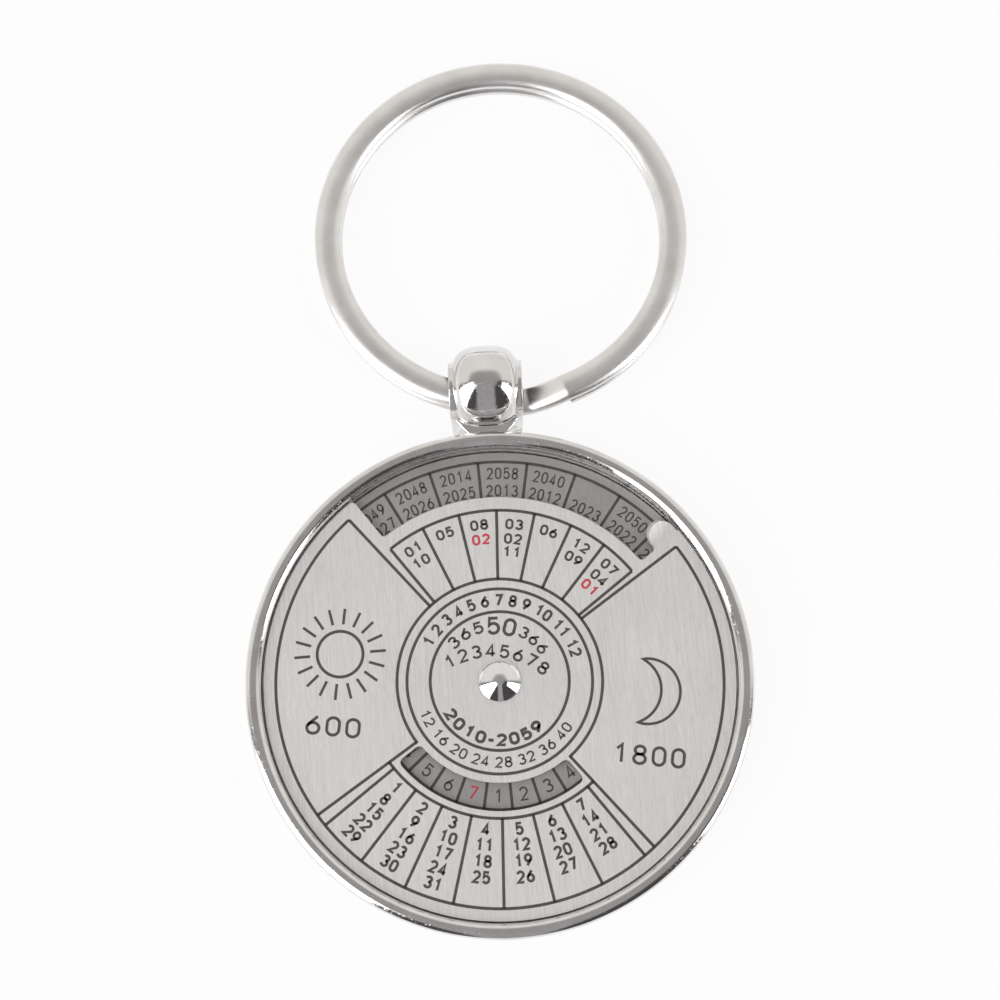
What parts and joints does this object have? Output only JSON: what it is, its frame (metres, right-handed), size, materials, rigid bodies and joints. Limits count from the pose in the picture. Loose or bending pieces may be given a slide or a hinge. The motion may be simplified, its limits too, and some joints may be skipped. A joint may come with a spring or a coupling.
{
  "type": "perpetual calendar keyring",
  "caption": "Round pocket calendar: a chromed dish with a cast bail, a lower plate under a turning, windowed upper plate on a domed rivet, and a split ring for keys.",
  "frame": {"origin": "centre of the case's flat back, on the axis of the dial", "axes": "+Z out of the dial, +Y towards the bail and the split ring, +X to the right of the dial"},
  "size_m": [0.04, 0.0721, 0.0065],
  "materials": {
    "chrome_cast": "cast, polished and chromed",
    "adhesive_foam": "soft foam tape",
    "steel_satin": "darker satin steel with printed cells",
    "nylon": "smooth nylon",
    "steel_brushed": "light steel with a straight brushed grain and dark print",
    "chrome_rivet": "mirror polished",
    "steel_plain": "plain stamped steel",
    "steel_ring": "nickel-plated spring steel, softly polished"
  },
  "bodies": {
    "case": {"case": "chrome_cast", "adhesive_pad": "adhesive_foam", "year_plate": "steel_satin", "friction_washer": "nylon", "rivet": "chrome_rivet", "rivet_burr": "steel_plain"},
    "dial": {"date_plate": "steel_brushed"},
    "ring": {"split_ring": "steel_ring"}
  },
  "joints": [
    {"name": "dial_turn", "type": "hinge", "parent": "case", "child": "dial", "pos_m": [0, 0, 0.0032], "axis": [0, 0, 1], "continuous": true},
    {"name": "ring_swing", "type": "hinge", "parent": "case", "child": "ring", "pos_m": [0, 0.02365, 0.00307], "axis": [1, 0, 0], "range_deg": [-145, 161]}
  ]
}
